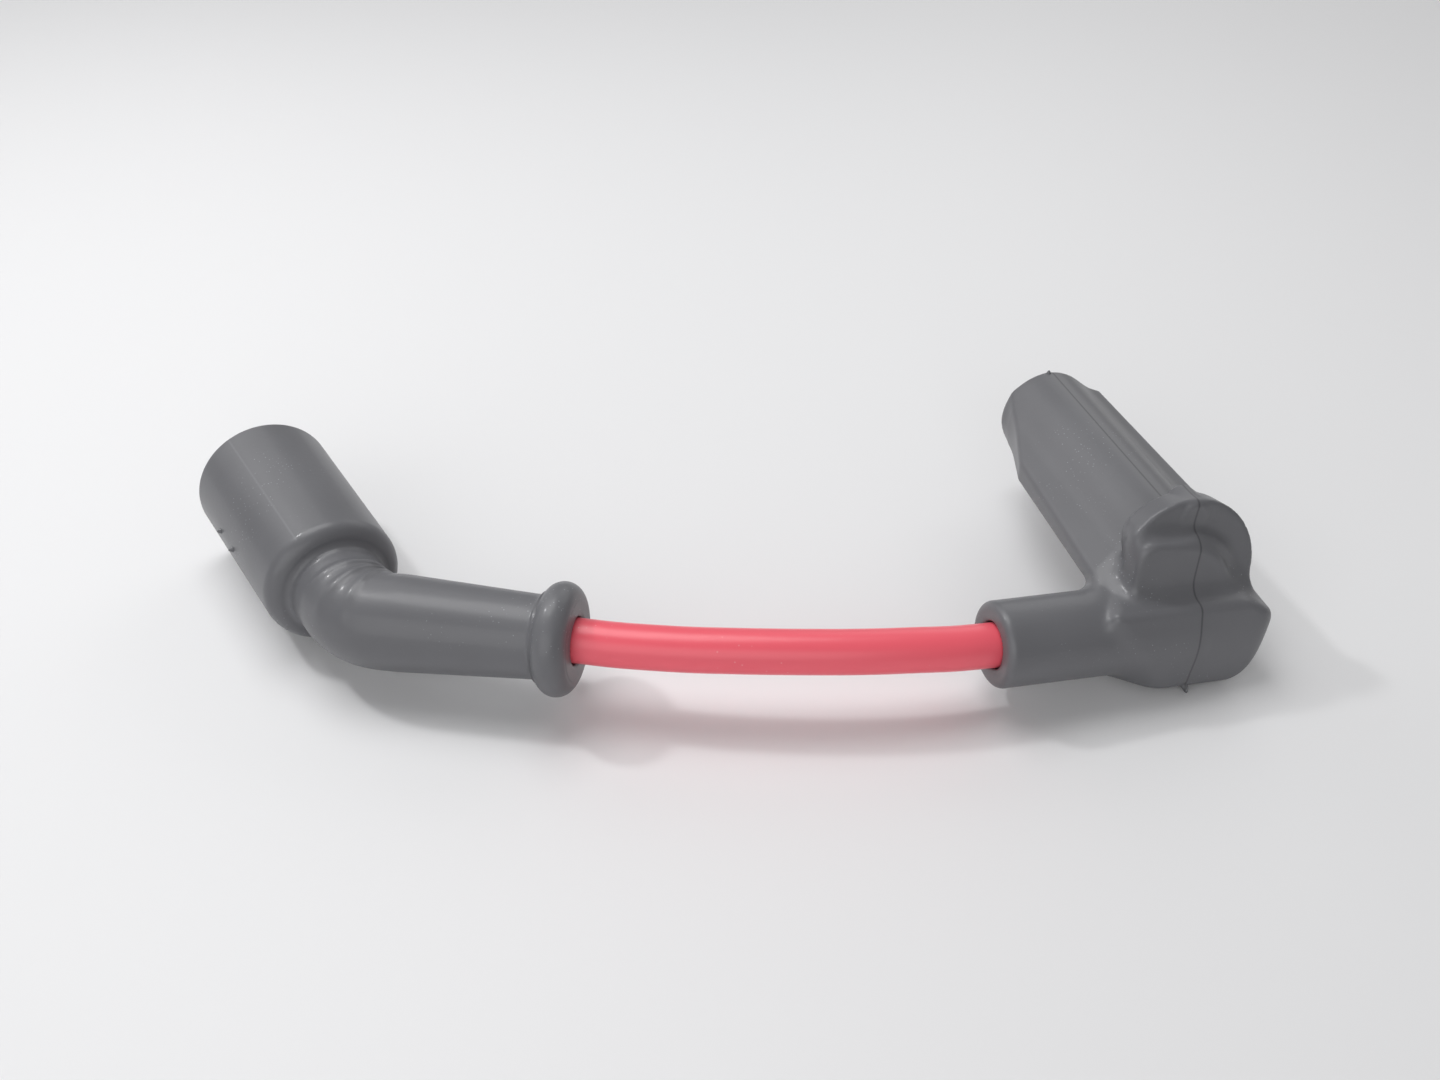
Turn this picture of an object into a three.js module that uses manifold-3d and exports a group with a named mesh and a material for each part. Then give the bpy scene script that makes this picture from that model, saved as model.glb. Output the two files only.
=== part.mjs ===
// A short spark plug wire: a silicone lead between a bent plug boot and a right-angle coil boot.
// Millimetres, +Z up. The lead lies on the XY plane, with its wire along +X and both boot mouths facing +Y.
import * as THREE from 'three';
import { mergeVertices } from 'three/addons/utils/BufferGeometryUtils.js';
import Module from 'manifold-3d';

const wasm = await Module();
wasm.setup();

// Lead: a rubber jacket over an insulating layer over a conductor.
const jacketDiameter = 8.5;
const jacketWall = 1.4;
const insulationWall = 1.25;
const insulationStrip = 2;
const coreStrip = 6;
const jacketSides = 12;
const coreSides = 8;
const stepDiameters = 2;
const fitGap = 0.3;

// The middle of the lead, from its cut end in the plug boot to its cut end in the coil boot.
const leadRoute = [
  [-52.1, -26.9, 14.1], [-42.9, -28.7, 14.5], [-33.8, -30.4, 14.9], [-24.6, -32.2, 15.3],
  [-17.6, -33.5, 15.4], [-10.6, -34.5, 15.6], [-3.6, -35.2, 15.7], [3.4, -35.6, 15.8],
  [10.4, -35.8, 15.8], [17.4, -35.8, 15.7], [24.4, -35.6, 15.5], [31.4, -35.1, 15.2],
  [38.4, -34.3, 14.8], [44.9, -33.3, 14.2], [51.0, -31.9, 13.6], [60.0, -29.6, 12.9],
  [69.0, -27.3, 12.2], [78.0, -25.0, 11.5],
];

// Plug boot: a wide head for the plug, turned away from the wire tube at the neck.
const plugElbowAngle = 134.9;
const plugRoll = 3.4;
const plugStripReach = 15;
const headMouthReach = 53.4;
const headLength = 42.1;
const headMouthRadius = 14.1;
const headNeckRadius = 13.6;
const headShoulderRounding = 3.2;
const plugNeckRadius = 9.3;
const plugNeckReach = 9;
const neckOverlap = 1;
const plugTubeRadius = 7.85;
const flangeReach = 40.1;
const flangeRadius = 10.8;
const flangeWidth = 6.6;
const flangeFillet = 1;
const flangeTurn = 70;
const hexMouthRadius = 9.2;
const hexMouthDepth = 15.5;
const insulatorBoreRadius = 5.6;
const insulatorBoreDepth = 14;

// Coil boot: a long tower with two grip wings, square to its wire tube.
const coilStripReach = 12;
const coilTubeLength = 38.5;
const coilTubeRadius = 8.2;
const coilTubeRounding = 1.4;
const towerReach = 63.6;
const towerRadius = 9.9;
const towerBoreRadius = 7.4;
const towerBoreDepth = 34;
const wingTipThickness = 1.5;
const wingRootThickness = 9.4;
const wingRootSpan = 9.2;
const wingRoll = 7;
const wingSection = 19;
const wingFrontSlope = 4;
const leftNeckSpan = 16.8;
const leftMouthSpan = 14.8;
const leftWingReach = 43;
const leftWingSlope = 16;
const rightNeckSpan = 15.2;
const rightMouthSpan = 13.5;
const rightWingReach = 62.2;
const rightWingSlope = 1.2;
const collarRadius = 14.4;
const collarOffset = -0.5;
const collarCutAngle = 146;
const collarFoot = 7;
const collarHeight = 17;
const collarDrop = 12;
const collarFront = 0.1;
const collarThickness = 5.6;
const collarLean = 16;
const collarRounding = 1.4;
const gripNubRadius = 2.8;
const gripNubReach = 10.8;
const gripNubTop = 25.4;
const coilNeckFront = -1.5;
const coilNeckThickness = 5;
const coilNeckLean = 8;
const coilNeckRounding = 3.4;
// The neck's outline across the tower, from the tower's axis: full on the wire's side, sloping on the other.
const coilNeckOutline = [[-12.5, -12], [9.8, -12], [9.8, 0], [2.4, 9.4], [-12.3, 10.8]];

// The block at the coil boot's corner: each face by its outward direction and its distance from the corner.
const cornerFaces = [
  [0, -1, 0, 9], [0, 1, 0, 9], [0, 0, 1, 8.9], [0, 0, -1, 9.7], [-1, 0, 0, 19], [1, 0, 0, 17.3],
];
const cornerBevels = [
  [0, -0.954, 0.3, 8.6], [0, -0.707, -0.707, 12.6], [0.539, 0, 0.842, 13.5], [0.71, 0, -0.704, 13.9],
  [0.677, -0.736, 0, 15.75], [0.677, 0.736, 0, 15.75],
  [-0.572, -0.753, -0.325, 12.8], [-0.572, 0.753, -0.325, 12.8],
];

// Terminals: folded from sheet, a crimp round the jacket and a socket for the plug's or the coil's stud.
const sheetThickness = 0.5;
const crimpLength = 14;
const crimpOverhang = 4;
const socketRadius = 4.9;
const socketLength = 14;
const socketLipWidth = 0.35;
const socketSlotWidth = 1.4;
const socketSlotLength = 8;
const webWidth = 5.2;
const plugSocketReach = 8;
const coilSocketReach = 7;
const springWireRadius = 0.45;
const springGapAngle = 70;
const springPlace = 0.62;
const chamberGap = 0.4;
const chamberRun = 1.6;

// Facets of the round forms.
const boreSides = 28;
const bootSides = 36;
const terminalSides = 24;

// Sizes that follow from the ones above.
const jacketRadius = jacketDiameter / 2;
const jacketBore = jacketRadius - jacketWall;
const insulationRadius = jacketBore - fitGap;
const insulationBore = insulationRadius - insulationWall;
const coreRadius = insulationBore - fitGap;
const crimpBore = jacketRadius + fitGap;
const crimpRadius = crimpBore + sheetThickness;
const wireBore = jacketRadius + fitGap;
const crimpBoreInBoot = crimpRadius + fitGap;
const springRadius = socketRadius + fitGap + springWireRadius;
const socketChamber = springRadius + springWireRadius + chamberGap;
const webChamber = Math.hypot(crimpRadius, webWidth / 2) + chamberGap;
const towerRise = crimpRadius + socketRadius - sheetThickness;
const cutOverrun = 1;

const surface = (color, roughness, metalness) => (
  new THREE.MeshStandardMaterial({ color, roughness, metalness })
);
const bootRubber = () => surface(0x4a4b4f, 0.55, 0);
const jacketSilicone = () => surface(0xe0202c, 0.5, 0);
const insulationRubber = () => surface(0xd9d4c8, 0.6, 0);
const coreFibre = () => surface(0x1c1c1e, 0.7, 0);
const terminalSteel = () => surface(0xb9babd, 0.3, 1);
const springSteel = () => surface(0x8f9296, 0.35, 1);

// Three-way axes of a boot: along its tube, up out of the bend, and square to both.
function bootFrame(origin, along, rollDegrees) {
  const x = along.clone().normalize();
  const z = new THREE.Vector3(0, 0, 1).projectOnPlane(x).normalize();
  z.applyAxisAngle(x, THREE.MathUtils.degToRad(rollDegrees));
  const y = new THREE.Vector3().crossVectors(z, x);
  return new THREE.Matrix4().makeBasis(x, y, z).setPosition(origin);
}

// A solid from a closed geometry, with its shared corners merged and its flat slivers left out.
function toSolid(geometry, matrix) {
  const plain = new THREE.BufferGeometry();
  plain.setAttribute('position', geometry.getAttribute('position').clone());
  if (geometry.index) plain.setIndex(geometry.index);
  if (matrix) plain.applyMatrix4(matrix);
  const merged = mergeVertices(plain, 1e-4);
  const corners = [];
  const index = merged.index.array;
  for (let i = 0; i < index.length; i += 3) {
    const [p, q, r] = [index[i], index[i + 1], index[i + 2]];
    if (p !== q && q !== r && r !== p) corners.push(p, q, r);
  }
  return new wasm.Manifold(new wasm.Mesh({
    numProp: 3,
    vertProperties: new Float32Array(merged.getAttribute('position').array),
    triVerts: new Uint32Array(corners),
  }));
}

function toMesh(solid, name, material) {
  const { vertProperties, triVerts } = solid.getMesh();
  const geometry = new THREE.BufferGeometry();
  geometry.setAttribute('position', new THREE.BufferAttribute(vertProperties, 3));
  geometry.setIndex(new THREE.BufferAttribute(triVerts, 1));
  geometry.computeVertexNormals();
  const mesh = new THREE.Mesh(geometry, material);
  mesh.name = name;
  return mesh;
}

const outline = (points) => points.map(([x, y]) => new THREE.Vector2(x, y));
const joinAll = (solids) => solids.reduce((whole, next) => whole.add(next));

// Moves +Y onto a direction in the XY plane, turned by some degrees from +X, at a point.
function turned(degrees, x = 0, y = 0, z = 0) {
  const turn = new THREE.Matrix4().makeRotationZ(THREE.MathUtils.degToRad(degrees - 90));
  return turn.setPosition(x, y, z);
}

// A turned body from [radius, distance] pairs, which start and end on its axis.
function turnedBody(profile, sides, matrix) {
  const points = profile.map(([radius, distance]) => new THREE.Vector2(radius, distance));
  return toSolid(new THREE.LatheGeometry(points, sides), matrix);
}

// A quarter round between a side and an end face, as [radius, distance] pairs.
function roundedEdge(radius, distance, rounding, from, to, steps = 4) {
  return Array.from({ length: steps + 1 }, (_, i) => {
    const angle = THREE.MathUtils.degToRad(from + ((to - from) * i) / steps);
    return [radius + rounding * Math.cos(angle), distance + rounding * Math.sin(angle)];
  });
}

function ringShape(outer, inner, sides) {
  const corner = (radius, i) => {
    const angle = (i * 2 * Math.PI) / sides;
    return new THREE.Vector2(radius * Math.cos(angle), radius * Math.sin(angle));
  };
  const circle = (radius) => Array.from({ length: sides }, (_, i) => corner(radius, i));
  const shape = new THREE.Shape(circle(outer));
  if (inner > 0) shape.holes.push(new THREE.Path(circle(inner).reverse()));
  return shape;
}

// One layer of the lead: a ring carried along the route, run on straight past each cut end.
function leadLayer(outer, inner, sides, overrun) {
  const points = leadRoute.map(([x, y, z]) => new THREE.Vector3(x, y, z));
  const start = points[0].clone().sub(points[1]).setLength(overrun).add(points[0]);
  const last = points.length - 1;
  const end = points[last].clone().sub(points[last - 1]).setLength(overrun).add(points[last]);
  const all = overrun > 0 ? [start, ...points, end] : points;
  const path = new THREE.CatmullRomCurve3(all, false, 'centripetal');
  const steps = Math.round(path.getLength() / (stepDiameters * 2 * outer));
  const options = { steps, bevelEnabled: false, extrudePath: path };
  return toSolid(new THREE.ExtrudeGeometry(ringShape(outer, inner, sides), options));
}

// A flat outline in the XY plane, given thickness along +Z from a height.
function plate(flat, thickness, matrix, options = {}) {
  const shape = flat instanceof THREE.Shape ? flat : new THREE.Shape(flat);
  const geometry = new THREE.ExtrudeGeometry(shape, { depth: thickness, bevelEnabled: false, ...options });
  return toSolid(geometry, matrix);
}

// Turns an outline drawn across a boot's tower, X along the tube and Y up, so that its thickness runs from a
// distance down the tower toward the front.
function acrossTower(back) {
  return new THREE.Matrix4().makeBasis(
    new THREE.Vector3(1, 0, 0), new THREE.Vector3(0, 0, 1), new THREE.Vector3(0, -1, 0),
  ).setPosition(0, back, 0);
}

const leadPoint = (i) => new THREE.Vector3(...leadRoute.at(i));
const plugAlong = leadPoint(1).sub(leadPoint(0)).normalize();
const plugElbow = leadPoint(0).addScaledVector(plugAlong, -plugStripReach);
const plugFrame = bootFrame(plugElbow, plugAlong, plugRoll);
const coilAlong = leadPoint(-1).sub(leadPoint(-2)).normalize();
const coilCorner = leadPoint(-1).addScaledVector(coilAlong, coilStripReach);
const coilFrame = bootFrame(coilCorner, coilAlong, 0);

// The plug boot in its own frame: its elbow at the origin, its wire tube along +X, its head turned from it.
function plugBoot() {
  const head = turned(plugElbowAngle);
  const tube = turned(0);
  const shoulder = headMouthReach - headLength;
  const rounding = headShoulderRounding;
  const flangeStart = flangeReach - flangeWidth / 2;
  const headBody = turnedBody([
    [0, shoulder],
    ...roundedEdge(headNeckRadius - rounding, shoulder + rounding, rounding, -90, 0),
    [headMouthRadius, headMouthReach],
    [0, headMouthReach],
  ], bootSides, head);
  const halfFlange = flangeWidth / 2;
  const tubeBody = turnedBody([
    [0, plugNeckReach - neckOverlap],
    [plugNeckRadius, plugNeckReach - neckOverlap],
    [plugTubeRadius, flangeStart - flangeFillet],
    [plugTubeRadius + flangeFillet, flangeStart],
    ...roundedEdge(flangeRadius - halfFlange, flangeReach, halfFlange, -flangeTurn, flangeTurn, 6),
    [flangeRadius - halfFlange, flangeReach + halfFlange],
    [0, flangeReach + halfFlange],
  ], bootSides, tube);
  const headAngle = THREE.MathUtils.degToRad(plugElbowAngle);
  const headWay = new THREE.Vector3(Math.cos(headAngle), Math.sin(headAngle), 0);
  const headPoint = (reach) => headWay.clone().multiplyScalar(reach);
  const bend = new THREE.QuadraticBezierCurve3(
    headPoint(plugNeckReach + rounding), new THREE.Vector3(), new THREE.Vector3(plugNeckReach, 0, 0),
  );
  const neckPath = new THREE.CatmullRomCurve3([headPoint(shoulder + rounding), ...bend.getPoints(6)]);
  const neckOptions = { steps: 9, bevelEnabled: false, extrudePath: neckPath };
  const neck = toSolid(new THREE.ExtrudeGeometry(ringShape(plugNeckRadius, 0, bootSides), neckOptions));

  const hexEnd = headMouthReach - hexMouthDepth;
  const insulatorEnd = hexEnd - insulatorBoreDepth;
  const step = hexMouthRadius - insulatorBoreRadius;
  const socket = turnedBody([
    [0, 0],
    [socketChamber, 0],
    [socketChamber, insulatorEnd],
    [insulatorBoreRadius, insulatorEnd + socketChamber - insulatorBoreRadius],
    [insulatorBoreRadius, hexEnd - step],
    [hexMouthRadius, hexEnd],
    [hexMouthRadius, headMouthReach + cutOverrun],
    [0, headMouthReach + cutOverrun],
  ], boreSides, head);
  const crimpStart = plugStripReach - crimpOverhang;
  const crimpEnd = crimpStart + crimpLength;
  const bore = turnedBody([
    [0, 0],
    [webChamber, 0],
    [webChamber, crimpStart + 2 * sheetThickness],
    [crimpBoreInBoot, crimpStart + 2 * sheetThickness + webChamber - crimpBoreInBoot],
    [crimpBoreInBoot, crimpEnd + fitGap],
    [wireBore, crimpEnd + fitGap + crimpBoreInBoot - wireBore],
    [wireBore, flangeReach + halfFlange + cutOverrun],
    [0, flangeReach + halfFlange + cutOverrun],
  ], boreSides, tube);
  const elbowBall = toSolid(new THREE.SphereGeometry(socketChamber, boreSides, boreSides / 2));
  return joinAll([headBody, neck, tubeBody]).subtract(socket).subtract(bore).subtract(elbowBall);
}

// The collar's outline across the tower: a round top, cut off on the wire's side by a line down to its foot.
function collarOutline() {
  const shape = new THREE.Shape();
  shape.moveTo(-collarFoot, -collarDrop);
  shape.lineTo(collarOffset + collarRadius, -collarDrop);
  const cut = THREE.MathUtils.degToRad(collarCutAngle);
  shape.absarc(collarOffset, collarHeight - collarRadius, collarRadius, 0, cut, false);
  return shape;
}

// A closed outline with each of its corners rounded, by a curve that starts and ends at a distance from it.
function roundedOutline(corners, rounding) {
  const points = outline(corners);
  const shape = new THREE.Shape();
  points.forEach((corner, i) => {
    const before = points.at(i - 1).clone().sub(corner).setLength(rounding).add(corner);
    const after = points[(i + 1) % points.length].clone().sub(corner).setLength(rounding).add(corner);
    if (i === 0) shape.moveTo(before.x, before.y);
    else shape.lineTo(before.x, before.y);
    shape.quadraticCurveTo(corner.x, corner.y, after.x, after.y);
  });
  return shape;
}

// The two grip wings: a section with thin tips and thick roots, cut to a plan that slopes in at the mouth.
function coilWings() {
  const tip = wingTipThickness / 2;
  const root = wingRootThickness / 2;
  const section = [
    [-wingSection, -tip], [-wingRootSpan, -root], [wingRootSpan, -root], [wingSection, -tip],
    [wingSection, tip], [wingRootSpan, root], [-wingRootSpan, root], [-wingSection, tip],
  ];
  const front = collarFront + collarRounding;
  const roll = new THREE.Matrix4().makeRotationY(-THREE.MathUtils.degToRad(wingRoll));
  roll.setPosition(0, 0, towerRise);
  const run = plate(outline(section), towerReach - front, roll.clone().multiply(acrossTower(towerReach)));
  const plan = [
    [-leftNeckSpan, front - cutOverrun], [rightNeckSpan - wingFrontSlope, front - cutOverrun],
    [rightNeckSpan, front + wingFrontSlope], [rightMouthSpan, rightWingReach],
    [wingRootSpan, rightWingReach + rightWingSlope],
    [-wingRootSpan, leftWingReach + leftWingSlope], [-leftMouthSpan, leftWingReach],
  ];
  const lowered = roll.clone().multiply(new THREE.Matrix4().makeTranslation(0, 0, -wingRootThickness));
  return run.intersect(plate(outline(plan), 2 * wingRootThickness, lowered));
}

// A cube so large that only one of its faces matters: the one square to a direction at a distance.
function halfSpace([x, y, z, distance]) {
  const size = 400;
  const outward = new THREE.Vector3(x, y, z).normalize();
  const turn = new THREE.Quaternion().setFromUnitVectors(new THREE.Vector3(0, 0, 1), outward);
  const middle = outward.clone().multiplyScalar(distance - size / 2);
  const matrix = new THREE.Matrix4().compose(middle, turn, new THREE.Vector3(1, 1, 1));
  return toSolid(new THREE.BoxGeometry(size, size, size), matrix);
}

// The block where the wire tube ends: what lies behind all of its faces.
function coilCornerBlock() {
  return [...cornerFaces, ...cornerBevels].map(halfSpace).reduce((block, half) => block.intersect(half));
}

// A plate across the tower, with rounded edges, leaning back by some degrees about the tower's axis.
function leaningPlate(flat, front, thickness, lean) {
  const edge = collarRounding;
  const bevel = {
    bevelEnabled: true, bevelSize: edge, bevelOffset: -edge, bevelThickness: edge, bevelSegments: 3,
    curveSegments: 14,
  };
  const tilt = new THREE.Matrix4().makeRotationX(-THREE.MathUtils.degToRad(lean));
  tilt.setPosition(0, front, towerRise);
  return plate(flat, thickness - 2 * edge, tilt.multiply(acrossTower(thickness - edge)), bevel);
}

// The coil boot in its own frame: its corner at the origin, its tube along -X, its tower along +Y above it.
function coilBoot() {
  const tower = turned(90, 0, 0, towerRise);
  const tube = turned(0);
  const edge = coilTubeRounding;
  const tubeBody = turnedBody([
    [0, -coilTubeLength],
    ...roundedEdge(coilTubeRadius - edge, edge - coilTubeLength, edge, -90, 0),
    [coilTubeRadius + fitGap, 0],
    [0, 0],
  ], bootSides, tube);
  const towerBody = turnedBody([
    [0, collarFront + collarRounding],
    [towerRadius, collarFront + collarRounding],
    [towerRadius, towerReach],
    [0, towerReach],
  ], bootSides, tower);
  const collar = leaningPlate(collarOutline(), collarFront, collarThickness, collarLean);
  const neckShape = roundedOutline(coilNeckOutline, coilNeckRounding);
  const neck = leaningPlate(neckShape, coilNeckFront, coilNeckThickness, coilNeckLean);
  const nub = turnedBody([
    [0, collarFront + collarThickness],
    [gripNubRadius, collarFront + collarThickness],
    [gripNubRadius, gripNubReach],
    [0, gripNubReach],
  ], boreSides, turned(90, 0, 0, gripNubTop - gripNubRadius));

  const chamberStart = coilSocketReach - chamberRun;
  const boreEnd = towerReach - towerBoreDepth;
  const socket = turnedBody([
    [0, chamberStart],
    [socketChamber, chamberStart],
    [socketChamber, boreEnd],
    [towerBoreRadius, boreEnd + towerBoreRadius - socketChamber],
    [towerBoreRadius, towerReach + cutOverrun],
    [0, towerReach + cutOverrun],
  ], boreSides, tower);
  const crimpEnd = crimpOverhang - coilStripReach;
  const crimpStart = crimpEnd - crimpLength;
  const widening = webChamber - crimpBoreInBoot;
  const bore = turnedBody([
    [0, -coilTubeLength - cutOverrun],
    [wireBore, -coilTubeLength - cutOverrun],
    [wireBore, crimpStart - fitGap - (crimpBoreInBoot - wireBore)],
    [crimpBoreInBoot, crimpStart - fitGap],
    [crimpBoreInBoot, crimpEnd - 2 * sheetThickness - widening],
    [webChamber, crimpEnd - 2 * sheetThickness],
    [webChamber, webWidth / 2 + chamberGap],
    [0, webWidth / 2 + chamberGap],
  ], boreSides, tube);
  const webPassage = turnedBody([
    [0, 0],
    [webWidth / 2 + chamberGap, 0],
    [webWidth / 2 + chamberGap, coilSocketReach],
    [0, coilSocketReach],
  ], boreSides, turned(90, 0, 0, crimpRadius - sheetThickness / 2));
  const outside = joinAll([tubeBody, coilCornerBlock(), neck, collar, nub, towerBody, coilWings()]);
  return outside.subtract(socket).subtract(bore).subtract(webPassage);
}

// A rolled barrel of sheet along +Y from a start to an end.
function barrel(radius, start, end, matrix, lip = 0) {
  const inner = radius - sheetThickness;
  const profile = [
    [inner, start], [radius, start], [radius, end], [inner - lip, end], [inner - lip, end - sheetThickness],
    [inner, end - 2 * sheetThickness], [inner, start],
  ];
  return turnedBody(profile, terminalSides, matrix);
}

// A socket barrel with a slot down each side, so that it can spring over the stud.
function slottedSocket(reach, matrix) {
  const end = reach + socketLength;
  const whole = barrel(socketRadius, reach, end, matrix, socketLipWidth);
  const halfSlot = socketSlotWidth / 2;
  const slot = [
    [-halfSlot, end - socketSlotLength], [halfSlot, end - socketSlotLength],
    [halfSlot, end + cutOverrun], [-halfSlot, end + cutOverrun],
  ];
  const depth = 2 * socketRadius + 2 * cutOverrun;
  const lowered = matrix.clone().multiply(new THREE.Matrix4().makeTranslation(0, 0, -depth / 2));
  return whole.subtract(plate(outline(slot), depth, lowered));
}

// The plug terminal: both barrels stand on one web, which lies under them and turns with the boot.
function plugTerminal() {
  const crimpStart = plugStripReach - crimpOverhang;
  const crimp = barrel(crimpRadius, crimpStart, crimpStart + crimpLength, turned(0));
  const socketMatrix = turned(plugElbowAngle, 0, 0, socketRadius - crimpRadius);
  const socket = slottedSocket(plugSocketReach, socketMatrix);
  const angle = THREE.MathUtils.degToRad(plugElbowAngle);
  const half = webWidth / 2;
  const mitre = half / Math.tan(angle / 2);
  const alongHead = (reach, side) => [
    reach * Math.cos(angle) - side * Math.sin(angle), reach * Math.sin(angle) + side * Math.cos(angle),
  ];
  const corners = [
    [-mitre, -half], [crimpStart + sheetThickness, -half], [crimpStart + sheetThickness, half], [mitre, half],
    alongHead(plugSocketReach + sheetThickness, -half), alongHead(plugSocketReach + sheetThickness, half),
  ];
  const lowered = new THREE.Matrix4().makeTranslation(0, 0, -crimpRadius);
  return joinAll([crimp, socket, plate(outline(corners), sheetThickness, lowered)]);
}

// The coil terminal: its web lies on top of the crimp and under the socket, so the two barrels cross square.
function coilTerminal() {
  const crimpEnd = crimpOverhang - coilStripReach;
  const crimp = barrel(crimpRadius, crimpEnd - crimpLength, crimpEnd, turned(0));
  const socket = slottedSocket(coilSocketReach, turned(90, 0, 0, towerRise));
  const half = webWidth / 2;
  const corners = [
    [crimpEnd - sheetThickness, -half], [half, -half], [half, coilSocketReach + sheetThickness],
    [-half, coilSocketReach + sheetThickness], [-half, half], [crimpEnd - sheetThickness, half],
  ];
  const raised = new THREE.Matrix4().makeTranslation(0, 0, crimpRadius - sheetThickness);
  return joinAll([crimp, socket, plate(outline(corners), sheetThickness, raised)]);
}

// The round wire spring that closes a socket on its stud: an open ring about the socket.
function snapSpring(reach, matrix) {
  const place = reach + socketLength * springPlace;
  const gap = THREE.MathUtils.degToRad(springGapAngle);
  const steps = 14;
  const points = Array.from({ length: steps + 1 }, (_, i) => {
    const angle = gap / 2 + ((2 * Math.PI - gap) * i) / steps;
    return new THREE.Vector3(springRadius * Math.sin(angle), place, springRadius * Math.cos(angle));
  });
  const path = new THREE.CatmullRomCurve3(points);
  const options = { steps: 2 * steps, bevelEnabled: false, extrudePath: path };
  return toSolid(new THREE.ExtrudeGeometry(ringShape(springWireRadius, 0, coreSides), options), matrix);
}

function placed(mesh, frame) {
  mesh.applyMatrix4(frame);
  return mesh;
}

const group = new THREE.Group();
const plugSocketFrame = turned(plugElbowAngle, 0, 0, socketRadius - crimpRadius);
const coilSocketFrame = turned(90, 0, 0, towerRise);
const insulationLayer = leadLayer(insulationRadius, insulationBore, jacketSides, insulationStrip);
group.add(
  placed(toMesh(plugBoot(), 'plug_boot', bootRubber()), plugFrame),
  placed(toMesh(plugTerminal(), 'plug_terminal', terminalSteel()), plugFrame),
  placed(toMesh(snapSpring(plugSocketReach, plugSocketFrame), 'plug_snap_spring', springSteel()), plugFrame),
  toMesh(leadLayer(jacketRadius, jacketBore, jacketSides, 0), 'wire_jacket', jacketSilicone()),
  toMesh(insulationLayer, 'wire_insulation', insulationRubber()),
  toMesh(leadLayer(coreRadius, 0, coreSides, coreStrip), 'conductor_core', coreFibre()),
  placed(toMesh(coilBoot(), 'coil_boot', bootRubber()), coilFrame),
  placed(toMesh(coilTerminal(), 'coil_terminal', terminalSteel()), coilFrame),
  placed(toMesh(snapSpring(coilSocketReach, coilSocketFrame), 'coil_snap_spring', springSteel()), coilFrame),
);

export default group;
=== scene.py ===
# %% [markdown]
# # A spark plug wire, surface by surface
# The part is a short ignition lead: a red silicone wire with a grey rubber boot moulded for each of its
# ends. Every surface here is computed with numpy from a formula, in millimetres, and turned into a mesh in
# metres. The frame brings in the measured solids, which settle where each piece lies.

import math

import bpy
import numpy as np
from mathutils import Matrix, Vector


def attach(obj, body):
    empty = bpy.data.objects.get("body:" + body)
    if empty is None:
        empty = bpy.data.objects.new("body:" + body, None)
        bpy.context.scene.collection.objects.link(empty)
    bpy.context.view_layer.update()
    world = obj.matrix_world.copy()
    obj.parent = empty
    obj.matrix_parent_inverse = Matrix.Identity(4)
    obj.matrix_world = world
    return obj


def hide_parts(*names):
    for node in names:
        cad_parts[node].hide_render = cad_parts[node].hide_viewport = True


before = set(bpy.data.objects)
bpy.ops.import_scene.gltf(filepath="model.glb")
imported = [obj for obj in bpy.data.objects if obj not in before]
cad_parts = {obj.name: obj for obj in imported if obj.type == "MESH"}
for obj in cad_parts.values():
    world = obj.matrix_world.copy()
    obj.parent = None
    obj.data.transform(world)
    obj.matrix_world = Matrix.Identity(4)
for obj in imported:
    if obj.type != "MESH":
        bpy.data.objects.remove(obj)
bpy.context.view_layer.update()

# %% [markdown]
# ## Camera
# The camera stands where the photographer stood: straight in front, 38 degrees above the table, close
# enough that the near wire looks larger than the far mouths of the boots. Its lens follows from the same
# perspective.

# %% Camera
CAMERA_AT = Vector((0.0020, -0.2140, 0.1809))
CAMERA_DOWN = math.radians(38)
CAMERA_LENS = 33.125

camera_data = bpy.data.cameras.new("camera")
camera_data.lens = CAMERA_LENS
camera_data.sensor_width = 36
camera_data.clip_start = 0.01
camera = bpy.data.objects.new("camera", camera_data)
camera.location = CAMERA_AT
camera.rotation_euler = (math.radians(90) - CAMERA_DOWN, 0, 0)
bpy.context.scene.collection.objects.link(camera)
bpy.context.scene.camera = camera
print("camera", tuple(round(v, 4) for v in camera.location))

# %% [markdown]
# ## The line of the wire
# The wire's middle is a smooth curve through a few given points: it leaves the plug boot, bows
# toward the camera and comes back to the coil boot. A centripetal Catmull-Rom spline passes through all of
# them and doesn't swing between close ones, because its knots are spaced by the square root of the distance
# between the points.

# %% The line of the wire
ROUTE = np.array([
    (-0.0521, -0.0269, 0.0141), (-0.0429, -0.0287, 0.0145), (-0.0338, -0.0304, 0.0149),
    (-0.0246, -0.0322, 0.0153), (-0.0176, -0.0335, 0.0154), (-0.0106, -0.0345, 0.0156),
    (-0.0036, -0.0352, 0.0157), (0.0034, -0.0356, 0.0158), (0.0104, -0.0358, 0.0158),
    (0.0174, -0.0358, 0.0157), (0.0244, -0.0356, 0.0155), (0.0314, -0.0351, 0.0152),
    (0.0384, -0.0343, 0.0148), (0.0449, -0.0333, 0.0142), (0.0510, -0.0319, 0.0136),
    (0.0600, -0.0296, 0.0129), (0.0690, -0.0273, 0.0122), (0.0780, -0.0250, 0.0115),
]) * 1000


def unit(v):
    """v divided by its length, along the last axis."""
    v = np.asarray(v, float)
    return v / np.linalg.norm(v, axis=-1, keepdims=True)


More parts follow.
